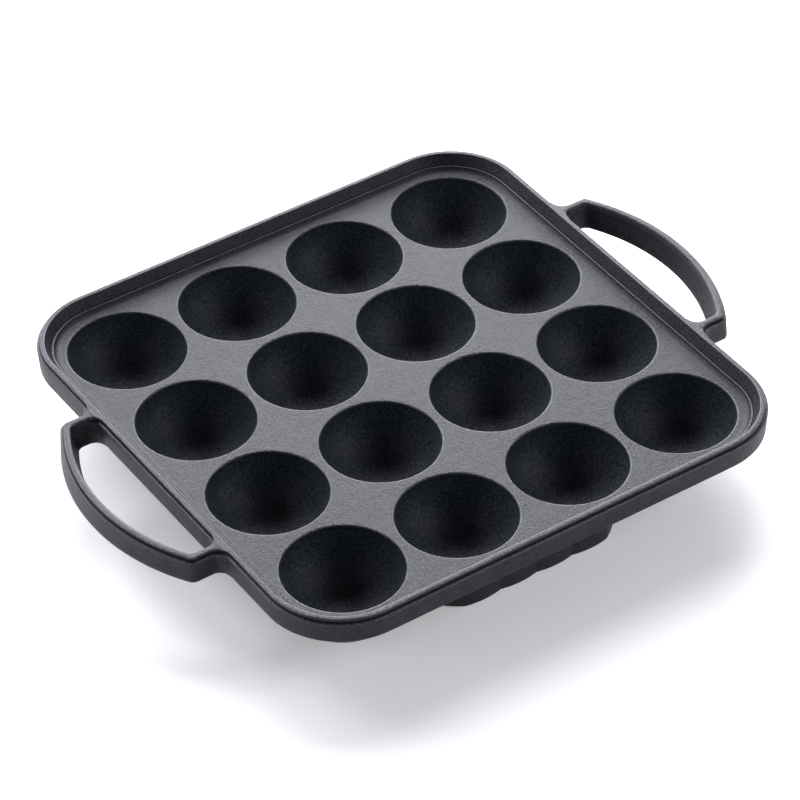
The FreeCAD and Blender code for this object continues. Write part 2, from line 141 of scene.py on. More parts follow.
def make_piece(name, points, faces, wear_and_shade=None):
    """A mesh object from points (n, 3) and faces (m, 4), closed up, with its faces outwards."""
    mesh = bpy.data.meshes.new(name)
    mesh.vertices.add(len(points))
    mesh.vertices.foreach_set("co", np.ascontiguousarray(points, np.float32).ravel())
    mesh.loops.add(faces.size)
    mesh.loops.foreach_set("vertex_index", np.ascontiguousarray(faces, np.int32).ravel())
    mesh.polygons.add(len(faces))
    mesh.polygons.foreach_set("loop_start", np.arange(0, faces.size, 4, dtype=np.int32))
    mesh.update(calc_edges=True)
    if wear_and_shade is not None:
        worn_and_shaded = mesh.attributes.new("wear_and_shade", "FLOAT", "POINT")
        worn_and_shaded.data.foreach_set("value", np.ascontiguousarray(wear_and_shade, np.float32).ravel())

    work = bmesh.new()
    work.from_mesh(mesh)
    bmesh.ops.remove_doubles(work, verts=work.verts, dist=MERGE)
    bmesh.ops.dissolve_degenerate(work, edges=work.edges, dist=MERGE)
    bmesh.ops.recalc_face_normals(work, faces=work.faces)
    open_edges = sum(1 for edge in work.edges if len(edge.link_faces) != 2)
    work.to_mesh(mesh)
    work.free()
    mesh.shade_smooth()
    mesh.set_sharp_from_angle(angle=SHARP)

    piece = bpy.data.objects.new(name, mesh)
    bpy.context.scene.collection.objects.link(piece)
    print(f"{name}: {len(mesh.polygons)} faces, open edges {open_edges}")
    return piece


# %% [markdown]
# ## Iron that was poured
# Nothing on a sand casting is quite flat: the mould gives a little, and the iron shrinks as it cools.
# One gentle wave field, a sum of a few sines of the place, moves every skin by a few hundredths of a
# millimetre. It depends on the place alone, so skins that touch still touch. It fades out towards the
# ground and towards the rim's top, so the pan keeps its height.

# %% The casting's gentle waves
WAVE_HEIGHT = 0.05 * MM
WAVE_LENGTHS = (31 * MM, 19 * MM, 11 * MM, 7 * MM)
WAVE_TURNS = (0.4, 1.9, 3.1, 4.7)
WAVE_SHIFT = 3
GROUND_FADE = 5 * MM
TOP_FADE = 1.2 * MM


def poured(points):
    """Points moved by the wave field: up and down by sines across the pan, inwards by sines round it."""
    moved = np.array(points, float)
    x, y, z = moved[..., 0], moved[..., 1], moved[..., 2]
    lift = np.zeros_like(x)
    for length, turn in zip(WAVE_LENGTHS, WAVE_TURNS):
        along = x * math.cos(turn) + y * math.sin(turn)
        lift += np.sin(2 * np.pi * along / length + WAVE_SHIFT * turn) / len(WAVE_LENGTHS)
    side = np.sin(2 * np.pi * (x - y) / WAVE_LENGTHS[0]) * np.cos(2 * np.pi * z / WAVE_LENGTHS[2])
    above_ground = np.clip(z / GROUND_FADE, 0, 1)
    below_top = np.clip((RIM_TOP - z) / TOP_FADE, 0, 1)
    moved[..., 2] = z + WAVE_HEIGHT * lift * above_ground * below_top
    inwards = 1 - WAVE_HEIGHT * (0.5 + 0.5 * side) * above_ground / OUTER_HALF
    moved[..., 0] = x * inwards
    moved[..., 1] = y * inwards
    return moved


# %% [markdown]
# ## The deck and the mouths of its cups
# The deck is the flat top between the cups. Each cup's mouth has a small round edge, which catches a
# thin line of light. One cell of the deck is a sheet whose rows go out from the mouth to the cell's
# square edge, so the round and the square meet without a seam. The corner cells are rounded too.

# %% Spokes and rings round a cup
SPOKES = 192
# Evenly spaced, so that neighbouring cells share their points.
ANGLES = np.arange(SPOKES) * 2 * np.pi / SPOKES
COSINE, SINE = np.cos(ANGLES), np.sin(ANGLES)


def ring_points(column, row, rings, heights):
    """Points round one cup: its middle plus each ring's radius along every spoke, at the ring's height."""
    x = (column - (CUPS - 1) / 2) * PITCH + rings * COSINE
    y = (row - (CUPS - 1) / 2) * PITCH + rings * SINE
    return np.stack([x, y, np.repeat(heights[:, None], SPOKES, axis=1)], axis=-1)


def underside_angle(radius):
    """How far below level a ball round the cup's centre meets the underside: arc sine of drop / radius."""
    return math.asin((CUP_CENTRE - UNDERSIDE) / radius)


# %% How far a cell reaches in each direction
def cup_corner(column, row):
    """Which way the deck's rounded corner lies from this cup, or None."""
    ends = (0, CUPS - 1)
    if column not in ends or row not in ends:
        return None
    return (1 if column else -1, 1 if row else -1)


def cell_reach(corner):
    """Distance from a cup's middle to its cell's edge: half the pitch over the larger of cosine and sine.

    At a rounded corner of the deck, it is where the ray meets the corner's circle."""
    reach = PITCH / 2 / np.maximum(abs(COSINE), abs(SINE))
    if corner is None:
        return reach
    inset = PITCH / 2 - DECK_CORNER
    toward = COSINE * corner[0] + SINE * corner[1]
    middle = inset * toward
    on_circle = middle + np.sqrt(np.maximum(middle**2 - 2 * inset**2 + DECK_CORNER**2, 0))
    x, y = on_circle * COSINE * corner[0], on_circle * SINE * corner[1]
    return np.where((x > inset) & (y > inset), on_circle, reach)


# %% One cell of the deck
WALL_RINGS = 7
EDGE_RINGS = 8
FLAT_RINGS = 6
CLOSE = MM / 100


def mouth_profile():
    """Radii and heights from the cup's wall at the underside, up over the round edge to the deck."""
    wall = np.linspace(-underside_angle(CUP_RADIUS), 0, WALL_RINGS)
    edge = np.linspace(0, np.pi / 2, EDGE_RINGS + 1)[1:]
    radius = np.append(CUP_RADIUS * np.cos(wall), CUP_RADIUS + MOUTH_ROUND * (1 - np.cos(edge)))
    height = CUP_CENTRE + np.append(CUP_RADIUS * np.sin(wall), MOUTH_ROUND * np.sin(edge))
    return radius, height


def deck_cell(column, row):
    """One cell as rings round the cup: under the deck, up through the mouth and out over the top."""
    reach = cell_reach(cup_corner(column, row))
    radius, height = mouth_profile()
    share = np.linspace(0, 1, FLAT_RINGS + 1)[1:, None]
    out_top = radius[-1] + (reach - radius[-1]) * share
    out_low = radius[0] + (reach - radius[0]) * share
    rings = np.vstack([out_low[::-1], np.repeat(radius[:, None], SPOKES, axis=1), out_top])
    heights = [np.full(FLAT_RINGS, UNDERSIDE), height, np.full(FLAT_RINGS, DECK_TOP)]
    return ring_points(column, row, rings, np.concatenate(heights))


def edge_faces(cell, start):
    """Faces that close the deck's side, between the first and last ring where both lie on its edge."""
    plan = abs(cell[-1, :, :2])
    in_corner = np.min(plan, axis=-1) > DECK_HALF - DECK_CORNER
    from_corner = np.hypot(*(plan - (DECK_HALF - DECK_CORNER)).T)
    on_edge = np.max(plan, axis=-1) > DECK_HALF - CLOSE
    on_edge |= in_corner & (abs(from_corner - DECK_CORNER) < CLOSE)
    here = np.flatnonzero(on_edge & np.roll(on_edge, -1))
    ahead = (here + 1) % SPOKES
    top = (len(cell) - 1) * SPOKES
    return np.stack([top + here, top + ahead, ahead, here], axis=-1) + start


def mouth_wear():
    """Wear of a cell's rings: only the round edge of the mouth sticks out."""
    wear_and_shade = -edge_wear_and_shade(np.stack(mouth_profile(), axis=1))
    wear_and_shade[[0, -1]] = 0
    return np.concatenate([np.zeros(FLAT_RINGS), wear_and_shade, np.zeros(FLAT_RINGS)])


# %% The deck
def make_deck():
    """Sixteen cells merged along their shared edges into one plate."""
    points, faces, start = [], [], 0
    for column, row in CELLS:
        cell = deck_cell(column, row)
        faces.append(sheet_faces(len(cell), SPOKES, close_columns=True, start=start))
        faces.append(edge_faces(cell, start))
        points.append(cell.reshape(-1, 3))
        start += len(points[-1])
    wear_and_shade = np.tile(np.repeat(mouth_wear(), SPOKES), len(CELLS))
    return make_piece("deck_skin", poured(np.vstack(points)), np.vstack(faces), wear_and_shade)


deck = make_deck()

# %% [markdown]
# ## The cups
# Under each mouth hangs a half ball, and its outside is a bigger half ball. Neighbouring domes run into
# each other, so each is cut off at its cell's edge. The sheet's rows are rings from the middle of the
# bowl up to the deck's underside and down the outside again.

# %% The cups
BOWL_RINGS = 45


def cup_rings():
    """Radius, height and whether the ring may be cut off, from the bowl's pole to the dome's pole."""
    inside = np.linspace(-np.pi / 2, -underside_angle(CUP_RADIUS), BOWL_RINGS)
    outside = np.linspace(-underside_angle(DOME_RADIUS), -np.pi / 2, BOWL_RINGS)
    radius = np.concatenate([CUP_RADIUS * np.cos(inside), DOME_RADIUS * np.cos(outside)])
    height = CUP_CENTRE + np.concatenate([CUP_RADIUS * np.sin(inside), DOME_RADIUS * np.sin(outside)])
    radius[[0, -1]] = 0
    return radius, height, np.arange(len(radius)) >= BOWL_RINGS


def make_cup(column, row):
    """A bowl turned about its own upright middle, its dome held inside the cell where a neighbour is.

    Towards a neighbour the dome reaches half the pitch over the cosine of the spoke's angle to it."""
    radius, height, outer = cup_rings()
    rings = np.repeat(radius[:, None], SPOKES, axis=1)
    for neighbour, toward in ((column > 0, -COSINE), (column < CUPS - 1, COSINE),
                              (row > 0, -SINE), (row < CUPS - 1, SINE)):
        if neighbour:
            limit = PITCH / 2 / np.maximum(toward, MERGE)
            rings = np.where(outer[:, None], np.minimum(rings, limit), rings)
    points = ring_points(column, row, rings, height)
    name = f"cup_{'abcd'[column]}{row + 1}"
    piece = make_piece(f"{name}_skin", poured(points).reshape(-1, 3),
                       sheet_faces(len(radius), SPOKES, close_columns=True))
    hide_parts(name)
    return piece


cups = [make_cup(column, row) for column, row in CELLS]

# %% [markdown]
# ## Rounded outlines
# A section of the rim is a short list of corners, each with its own rounding. This helper puts an arc
# on every corner: it finds the two points where the circle touches the corner's sides, and fills in
# the arc between them.

# %% Round the corners of a section
ARC_STEPS = 6


def rounded(corners, radii):
    """A closed outline with round corners: each corner P becomes an arc between its touching points.

    The arc's points are P's circle centre plus the radius along directions blended from one normal
    to the other."""
    before = np.roll(corners, 1, axis=0) - corners
    after = np.roll(corners, -1, axis=0) - corners
    before /= np.linalg.norm(before, axis=1)[:, None]
    after /= np.linalg.norm(after, axis=1)[:, None]
    half = np.arccos(np.clip((before * after).sum(axis=1), -1, 1)) / 2
    bisector = before + after
    bisector /= np.linalg.norm(bisector, axis=1)[:, None]
    centre = corners + bisector * (radii / np.sin(half))[:, None]
    touch_in = corners + before * (radii / np.tan(half))[:, None]
    touch_out = corners + after * (radii / np.tan(half))[:, None]
    share = np.linspace(0, 1, ARC_STEPS)[None, :, None]
    spread = (touch_in - centre)[:, None] * (1 - share) + (touch_out - centre)[:, None] * share
    length = np.linalg.norm(spread, axis=2, keepdims=True)
    arcs = centre[:, None] + spread / length * radii[:, None, None]
    return arcs.reshape(-1, 2)


# %% [markdown]
# ## The rim
# From the deck a cove curves up to a narrow ledge, a wall slopes out to the lip, and outside the lip
# a step drops to the shoulder, where the two halves of the mould parted. The section is carried round
# a square with round corners. On the corners each point turns on its own smaller or larger circle.

# %% The rim's section
SEAM_ROUND = MM / 100
COVE_STEPS = 11


def rim_section():
    """Distance from the middle and height of each point, once round the section.

    The cove is an arc that leaves the deck level, so its radius is (height² + width²) / (2 * height).
    It takes the place of the last corner, which only shapes the one before it."""
    ledge = DECK_HALF + COVE_WIDTH
    ledge_top = DECK_TOP + LEDGE_HEIGHT
    corners = np.array([
        (DECK_HALF, UNDERSIDE, SEAM_ROUND),
        (OUTER_HALF - WALL_DRAFT, UNDERSIDE, LOW_ROUND),
        (OUTER_HALF, SHOULDER, SHOULDER_ROUND),
        (LIP_OUTSIDE, SHOULDER, STEP_ROUND),
        (LIP_OUTSIDE, RIM_TOP, LIP_ROUND),
        (LIP_OUTSIDE - LIP_WIDTH, RIM_TOP, LIP_ROUND),
        (ledge + LEDGE_WIDTH, ledge_top, LEDGE_BACK_ROUND),
        (ledge, ledge_top, LEDGE_ROUND),
        (DECK_HALF, DECK_TOP, SEAM_ROUND),
    ])
    outline = rounded(corners[:, :2], corners[:, 2])
    cove_radius = (LEDGE_HEIGHT**2 + COVE_WIDTH**2) / (2 * LEDGE_HEIGHT)
    sweep = 2 * math.atan(LEDGE_HEIGHT / COVE_WIDTH)
    bend = np.linspace(sweep, 0, COVE_STEPS + 1)[1:]
    cove = np.stack([DECK_HALF + cove_radius * np.sin(bend),
                     DECK_TOP + cove_radius * (1 - np.cos(bend))], axis=1)
    return np.vstack([outline[:-ARC_STEPS], cove])


# %% The rim, carried round its path
CORNER_STEPS = 40
SIDE_STEPS = 60


def turning(angle):
    """The matrix that turns a plan by an angle: (cosine, -sine) over (sine, cosine)."""
    return np.array([[math.cos(angle), -math.sin(angle)], [math.sin(angle), math.cos(angle)]])


def square_path():
    """A square with round corners, as circle centres and outward directions, side by side.

    A point at distance r outside the centres is centre + direction * r."""
    centres, directions = [], []
    for number in range(4):
        start = number * np.pi / 2
        turned = turning(start)
        side = np.linspace(-FLAT_HALF, FLAT_HALF, SIDE_STEPS, endpoint=False)
        along = np.stack([np.full(SIDE_STEPS, FLAT_HALF), side], axis=1) @ turned.T
        bend = start + np.linspace(0, np.pi / 2, CORNER_STEPS, endpoint=False)
        corner = np.repeat([turned @ (FLAT_HALF, FLAT_HALF)], CORNER_STEPS, axis=0)
        outward = np.repeat([turned @ (1.0, 0.0)], SIDE_STEPS, axis=0)
        centres += [along, corner]
        directions += [outward, np.stack([np.cos(bend), np.sin(bend)], axis=1)]
    return np.vstack(centres), np.vstack(directions)


def make_rim():
    """The section carried round the square: place = centre + direction * (distance - flat half)."""
    section = rim_section()
    centres, directions = square_path()
    out = section[:, 0] - FLAT_HALF
    plan = centres[:, None] + directions[:, None] * out[None, :, None]
    height = np.repeat(section[None, :, 1], len(centres), axis=0)
    points = np.concatenate([plan, height[..., None]], axis=-1)
    faces = sheet_faces(*points.shape[:2], close_rows=True, close_columns=True)
    wear_and_shade = np.tile(edge_wear_and_shade(section), len(centres))
    return make_piece("rim_skin", poured(points).reshape(-1, 3), faces, wear_and_shade)


rim = make_rim()

# %% [markdown]
# ## The loop handles
# A handle is an upright band: two arms and a bow. Outside it has the rim's step and lip, inside it
# rises straight to a rounded ridge. Below its edge the band grows thicker, mostly into the loop, which
# let the pattern come out of the sand. The plan is worked out for any inset and lean of the band's
# faces, with the same number of points each time, so outlines at different heights join into one sheet.

# %% The plan of a handle
ARM_REACH = 11.9 * MM
ARM_HALF = 45.8 * MM
BAND_WIDTH = 3.9 * MM
BAND_EDGE = 1.4 * MM
OUTER_LEAN = 0.5 * MM
INNER_LEAN = 2.6 * MM
BEND_ROUND = 3.4 * MM
GRIP_ROUND = 3.4 * MM
ROOT_ROUND = 4.2 * MM
RIDGE_ROUND = 0.9 * MM
BURY = 0.9 * MM
HANDLE_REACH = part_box("handle_right")[1].x - OUTER_HALF - OUTER_LEAN

ROOT_STEPS = 10
ARM_STEPS = 12
BEND_STEPS = 12
BOW_STEPS = 48


def arc_points(centre, radius, start, end, steps):
    """Points of an arc: centre + radius * (cosine, sine) from one angle to the other."""
    bend = np.linspace(start, end, steps)
    return np.stack([centre[0] + radius * np.cos(bend), centre[1] + radius * np.sin(bend)], axis=1)


def half_loop(inset, lean, inner, wall):
    """One face of a handle in plan, from its root at +Y to the crown of the bow.

    The bow is the circle through both arms' ends and the crown: its radius is
    (half width² + rise²) / (2 * rise). The bend is a small circle that touches arm and bow."""
    sign = -1 if inner else 1
    rise = HANDLE_REACH - ARM_REACH
    bow = (ARM_HALF**2 + rise**2) / (2 * rise)
    bow_x = OUTER_HALF + HANDLE_REACH - bow
    moved = inset - BAND_WIDTH - lean if inner else lean - inset
    arm = ARM_HALF + moved
    radius = bow + moved
    corner = GRIP_ROUND + inset if inner else BEND_ROUND - inset
    flare = ROOT_ROUND + inset
    across = math.sqrt((radius - corner)**2 - (arm - corner)**2)
    meet = math.atan2(arm - corner, across)
    root_y = arm + sign * flare
    buried = np.array([[wall - BURY, root_y]])
    root = arc_points((wall + flare, root_y), flare, np.pi, np.pi + sign * np.pi / 2, ROOT_STEPS)
    straight = np.linspace(root[-1], (bow_x + across, arm), ARM_STEPS)[1:-1]
    bend = arc_points((bow_x + across, arm - corner), corner, np.pi / 2, meet, BEND_STEPS)
    crown = arc_points((bow_x, 0), radius, meet, 0, BOW_STEPS)[1:]
    return np.vstack([buried, root, straight, bend, crown])


def loop_face(inset, lean, inner, wall):
    """A whole face of a handle in plan: one half and its mirror image across y = 0."""
    half = half_loop(inset, lean, inner, wall)
    mirrored = half[-2::-1] * (1, -1)
    return np.vstack([half, mirrored])


# %% The heights of a handle's outlines
ROUND_RINGS = 5
LEAN_RINGS = 5
RISE_RINGS = 6
# Outlines this close below the shoulder start from the step's wall, as those above it do.
STEP_REACH = MM / 10
# The handles lie this much lower than the rim, so that the two don't share a plane.
SUNK = MM / 50


def quarter(radius):
    """Inset and drop along a quarter round edge, from the side to the top."""
    bend = np.linspace(0, np.pi / 2, ROUND_RINGS)
    return radius * (1 - np.cos(bend)), radius * (1 - np.sin(bend))


def face_levels(inner):
    """Inset and height up one face.

    Both faces have a rounded lower edge and a leaning side. Outside the step and lip follow, inside a
    straight rise and the ridge, with as many outlines."""
    low_in, low_up = quarter(LOW_ROUND)
    low = UNDERSIDE + low_up[::-1]
    lean = np.linspace(UNDERSIDE + LOW_ROUND, SHOULDER - BAND_EDGE, LEAN_RINGS + 1)[1:]
    if inner:
        ridge_in, ridge_down = quarter(RIDGE_ROUND)
        side = np.linspace(SHOULDER - BAND_EDGE, RIM_TOP - RIDGE_ROUND, RISE_RINGS + 2)[1:-1]
        inset = np.concatenate([low_in[::-1], np.zeros(LEAN_RINGS + RISE_RINGS), ridge_in])
        return inset, np.concatenate([low, lean, side, RIM_TOP - ridge_down])
    edge_in, edge_down = quarter(SHOULDER_ROUND)
    lip_in, lip_down = quarter(LIP_ROUND)
    inset = [low_in[::-1], np.zeros(LEAN_RINGS), edge_in, [STEP_WIDTH], STEP_WIDTH + lip_in]
    height = [low, lean, SHOULDER - edge_down, [SHOULDER], RIM_TOP - lip_down]
    return np.concatenate(inset), np.concatenate(height)


def face_rings(inner):
    """Outlines, heights and section of one face, from its lower edge up to the ridge.

    The lean grows evenly from nothing at the band's edge to its full amount at the lower edge."""
    inset, height = face_levels(inner)
    edge = SHOULDER - BAND_EDGE
    lean = (INNER_LEAN if inner else OUTER_LEAN) * np.clip((edge - height) / (edge - UNDERSIDE), 0, 1)
    fall = np.clip((SHOULDER - height) / (SHOULDER - UNDERSIDE), 0, 1)
    walls = OUTER_HALF - WALL_DRAFT * fall - np.where(height > SHOULDER - STEP_REACH, STEP_WIDTH, 0)
    plans = [loop_face(*ring, inner, wall) for *ring, wall in zip(inset, lean, walls)]
    across = inset - lean - BAND_WIDTH if inner else lean - inset
    return np.stack(plans), height - SUNK, np.stack([across, height], axis=1)


# %% The handles
def end_faces(rows, columns):
    """Faces across each buried end: ring k of the outer face joins ring k of the inner face."""
    outer = np.arange(rows // 2 - 1)
    inner = rows - 1 - outer
    first = np.stack([outer, outer + 1, inner - 1, inner], axis=-1) * columns
    return np.vstack([first, first + columns - 1])


def make_handle(name, turn):
    """Sheet of outlines: up the outer face, over the ridge and down the inner face, closed underneath.

    A turn of -1 is half a turn about the pan's middle."""
    outer_plans, outer_height, outer_profile = face_rings(inner=False)
    inner_plans, inner_height, inner_profile = face_rings(inner=True)
    plans = np.concatenate([outer_plans, inner_plans[::-1]])
    heights = np.concatenate([outer_height, inner_height[::-1]])
    z = np.repeat(heights[:, None], plans.shape[1], axis=1)
    points = np.concatenate([plans * turn, z[..., None]], axis=-1)
    rows, columns = points.shape[:2]
    faces = np.vstack([sheet_faces(rows, columns, close_rows=True), end_faces(rows, columns)])
    wear_and_shade = np.repeat(edge_wear_and_shade(np.vstack([outer_profile, inner_profile[::-1]])), columns)
    piece = make_piece(f"{name}_skin", poured(points).reshape(-1, 3), faces, wear_and_shade)
    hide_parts(name)
    return piece


handles = [make_handle("handle_left", -1), make_handle("handle_right", 1)]

# %% [markdown]
# ## The foot
# Under the front edge the photograph shows a shallow wavy row. It is read here as a fluted foot that
# steadies the pan on a stove grate. Its plan has eight sides with a row of shallow arcs on each, and
# its top follows whatever is above it, the plate or the side of a dome.

# %% The foot's plan
FOOT_HALF = OUTER_HALF - 18.0 * MM
FOOT_WALL = 4.0 * MM
FOOT_SIDES = 8
FLUTE_WIDTH = 15.8 * MM
FLUTE_DEPTH = 1.0 * MM
SIDE_FLUTES = 4
CORNER_FLUTES = 5
FLUTE_STEPS = 14


def foot_outline():
    """Outer and inner plan points, side by side.

    A flute is an arc on a chord: its radius is (half width² + depth²) / (2 * depth). The inner face is
    straight and a little shorter, as each side's ends are cut to half the angle between two sides."""
    side = FLUTE_WIDTH * SIDE_FLUTES / 2
    corner_length = (FOOT_HALF - side) * math.sqrt(2)
    corner_distance = (FOOT_HALF + side) / math.sqrt(2)
    outer, inner = [], []
    for number in range(FOOT_SIDES):
        straight = number % 2 == 0
        length = 2 * side if straight else corner_length
        distance = FOOT_HALF if straight else corner_distance
        flutes = SIDE_FLUTES if straight else CORNER_FLUTES
        share = np.linspace(0, 1, flutes * FLUTE_STEPS, endpoint=False)
        within = (share * flutes) % 1 * 2 - 1
        width = length / flutes
        radius = (width**2 / 4 + FLUTE_DEPTH**2) / (2 * FLUTE_DEPTH)
        bulge = np.sqrt(radius**2 - (within * width / 2)**2) - (radius - FLUTE_DEPTH)
        along = (share - 0.5) * length
        shorter = along * (1 - 2 * FOOT_WALL * math.tan(np.pi / FOOT_SIDES) / length)
        turned = turning(number * 2 * np.pi / FOOT_SIDES)
        outer.append(np.stack([distance + bulge, along], axis=1) @ turned.T)
        inner.append(np.stack([np.full_like(along, distance - FOOT_WALL), shorter], axis=1) @ turned.T)
    return np.vstack(outer), np.vstack(inner)


# %% The foot
TOP_STEPS = 7
FOOT_CHAMFER = 0.5 * MM


def nearest_cup(place):
    """The middle of the nearest cup, along one axis."""
    return (np.clip(np.round(place / PITCH - 0.5), -CUPS / 2, CUPS / 2 - 1) + 0.5) * PITCH


def ceiling(x, y):
    """Height of what is above a point: the plate's underside, or a dome's lower side where one hangs.

    The dome's is the cups' centre less the root of (radius² - distance²)."""
    away = (x - nearest_cup(x))**2 + (y - nearest_cup(y))**2
    dome = CUP_CENTRE - np.sqrt(np.maximum(DOME_RADIUS**2 - away, 0))
    return np.where(away < DOME_RADIUS**2, np.minimum(dome, UNDERSIDE), UNDERSIDE)


def at_height(plan, height):
    """Plan points (n, 2) with a height, one for all or one for each."""
    return np.column_stack([plan, np.broadcast_to(height, len(plan))])


def make_foot():
    """The outline carried up the outer face, across the top and down the inner face."""
    outer, inner = foot_outline()
    across = np.linspace(0, 1, TOP_STEPS)[:, None, None]
    top = outer[None] * (1 - across) + inner[None] * across
    lift = ceiling(top[..., 0], top[..., 1])
    cut = FOOT_CHAMFER / FOOT_HALF
    rows = [at_height(outer * (1 - cut), 0), at_height(outer, FOOT_CHAMFER)]
    rows += [at_height(plan, height) for plan, height in zip(top, lift)]
    rows += [at_height(inner, FOOT_CHAMFER), at_height(inner * (1 + cut), 0)]
    points = np.stack(rows)
    faces = sheet_faces(*points.shape[:2], close_rows=True, close_columns=True)
    return make_piece("foot_skin", poured(points).reshape(-1, 3), faces)


foot = make_foot()

# %% [markdown]
# ## Black cast iron, with painted bowl light and painted corner shade
# The pan is dull black iron with a fine sandy grain. The grain is two noises that read the place on
# the object: a fine one for the sand and a coarser one for blotches in the seasoning. Edges that hands
# and picks rub are shinier, and tight corners are duller, a painted shade where the shade of a corner
# falls. Both follow the wear that the sections left on their points. Below the mouths the deck and the
# cups carry painted light: a paler tone speckled by the sand grain, so the grain shows in the shaded
# bowls.

# %% Small parts of a material
def new_material(name):
    """A material with nodes, its node tree and its shader."""
    material = bpy.data.materials.new(name)
    material.use_nodes = True
    tree = material.node_tree
    return material, tree, tree.nodes["Principled BSDF"]


def add_noise(tree, place, scale, detail, rough):
    """A noise that reads the place on the object, in metres."""
    noise = tree.nodes.new("ShaderNodeTexNoise")
    noise.inputs["Scale"].default_value = scale
    noise.inputs["Detail"].default_value = detail
    noise.inputs["Roughness"].default_value = rough
    tree.links.new(place, noise.inputs["Vector"])
    return noise.outputs["Fac"]


def add_ramp(tree, fac, stops):
    """A colour ramp with the given stops, each a position and a colour."""
    ramp = tree.nodes.new("ShaderNodeValToRGB")
    for number, (position, colour) in enumerate(stops):
        stop = ramp.color_ramp.elements[number] if number < 2 else ramp.color_ramp.elements.new(position)
        stop.position = position
        stop.color = (*colour, 1)
    tree.links.new(fac, ramp.inputs["Fac"])
    return ramp.outputs["Color"]


def add_range(tree, value, low, high, to_low, to_high):
    """A number moved evenly from one range to another, and held at its ends."""
    step = tree.nodes.new("ShaderNodeMapRange")
    step.inputs["From Min"].default_value = low
    step.inputs["From Max"].default_value = high
    step.inputs["To Min"].default_value = to_low
    step.inputs["To Max"].default_value = to_high
    tree.links.new(value, step.inputs["Value"])
    return step.outputs["Result"]


def add_below(tree, place, above, below, top, bottom):
    """One colour above a height and another below a lower one, blended between the two heights."""
    axes = tree.nodes.new("ShaderNodeSeparateXYZ")
    tree.links.new(place, axes.inputs["Vector"])
    share = add_range(tree, axes.outputs["Z"], bottom, top, 0, 1)
    blend = tree.nodes.new("ShaderNodeMix")
    blend.data_type = "RGBA"
    tree.links.new(below, blend.inputs["A"])
    tree.links.new(share, blend.inputs["Factor"])
    tree.links.new(above, blend.inputs["B"])
    return blend.outputs["Result"]


# %% The iron
BLOTCH_SCALE, BLOTCH_DETAIL, BLOTCH_ROUGH = 110, 4, 0.5
SAND_SCALE, SAND_DETAIL, SAND_ROUGH = 1050, 3, 0.7
SAND_HEIGHT = 0.26 * MM
SOFT_LOW, SOFT_HIGH = 0.3, 0.7
HARD_LOW, HARD_HIGH = 0.35, 0.65
IRON_DARK, IRON_PALE = (0.008, 0.010, 0.013), (0.014, 0.017, 0.020)
# Painted bowl light: the paler, sand-speckled colour of the deck and the cups below the mouths.
PAINTED_BOWL_DARK, PAINTED_BOWL_PALE = (0.006, 0.010, 0.013), (0.028, 0.037, 0.045)
MOUTH_BLEND = 1.0 * MM
ROUGH_LOW, ROUGH_HIGH = 0.38, 0.62
# Wear runs from 0 to 1 here: near 0 is a tight corner, dulled as painted shade, half is a flat place, and
# nearly 1 a tight edge.
SHINES = ((0.0, 0.0), (0.5, 0.26), (0.9, 0.85))
PIT_SHARE, GRAIN_SHARE = 0.5, 1.5


def grey(level):
    """A grey as a colour."""
    return (level, level, level)


def add_shine(tree, sand):
    """Shine from wear, painted corner shade and sand: rubbed edges mirror more, tight corners less as
    painted shade, and pits between grains less.
    """
    wear_and_shade = tree.nodes.new("ShaderNodeAttribute")
    wear_and_shade.attribute_name = "wear_and_shade"
    rubbed_and_shaded = add_range(tree, wear_and_shade.outputs["Fac"], -1, 1, 0, 1)
    # Painted shade: the ramp takes the shine out of tight corners, where a corner's shade falls; rubbed
    # edges get more.
    polish_and_shade = add_ramp(tree, rubbed_and_shaded, [(position, grey(level)) for position, level in SHINES])
    grains = add_range(tree, sand, HARD_LOW, HARD_HIGH, PIT_SHARE, GRAIN_SHARE)
    shine = tree.nodes.new("ShaderNodeMath")
    shine.operation = "MULTIPLY"
    tree.links.new(polish_and_shade, shine.inputs[0])
    tree.links.new(grains, shine.inputs[1])
    return shine.outputs["Value"]


def make_iron(name, painted_bowls):
    """Cast iron: blotched black, uneven roughness and a sandy bump.

    With painted bowls, the colour below the mouths is painted light: a paler tone that the sand grain
    speckles, in place of the blotches."""
    material, tree, shader = new_material(name)
    place = tree.nodes.new("ShaderNodeTexCoord").outputs["Object"]
    blotch = add_noise(tree, place, BLOTCH_SCALE, BLOTCH_DETAIL, BLOTCH_ROUGH)
    sand = add_noise(tree, place, SAND_SCALE, SAND_DETAIL, SAND_ROUGH)
    colour = add_ramp(tree, blotch, [(SOFT_LOW, IRON_DARK), (SOFT_HIGH, IRON_PALE)])
    if painted_bowls:
        # Painted light: below the mouths the colour turns to a paler tone speckled by the sand grain, for
        # the shaded bowls.
        black = add_ramp(tree, sand, [(HARD_LOW, PAINTED_BOWL_DARK), (HARD_HIGH, PAINTED_BOWL_PALE)])
        colour = add_below(tree, place, colour, black, CUP_CENTRE, CUP_CENTRE - MOUTH_BLEND)
    tree.links.new(colour, shader.inputs["Base Color"])
    rough = add_ramp(tree, sand, [(SOFT_LOW, grey(ROUGH_LOW)), (SOFT_HIGH, grey(ROUGH_HIGH))])
    tree.links.new(rough, shader.inputs["Roughness"])
    bump = tree.nodes.new("ShaderNodeBump")
    bump.inputs["Strength"].default_value = 1.0
    bump.inputs["Distance"].default_value = SAND_HEIGHT
    tree.links.new(sand, bump.inputs["Height"])
    tree.links.new(bump.outputs["Normal"], shader.inputs["Normal"])
    tree.links.new(add_shine(tree, sand), shader.inputs["Specular IOR Level"])
    print(f"{name}: {len(tree.nodes)} nodes")
    return material


iron = make_iron("cast_iron", painted_bowls=False)
painted_bowl_iron = make_iron("painted_bowl_iron", painted_bowls=True)

# %% [markdown]
# ## One body
# A skin takes the place of its solid, wears its iron and rides on the body that its solid rides on.
# The pan has one body, so everything rides on the root.

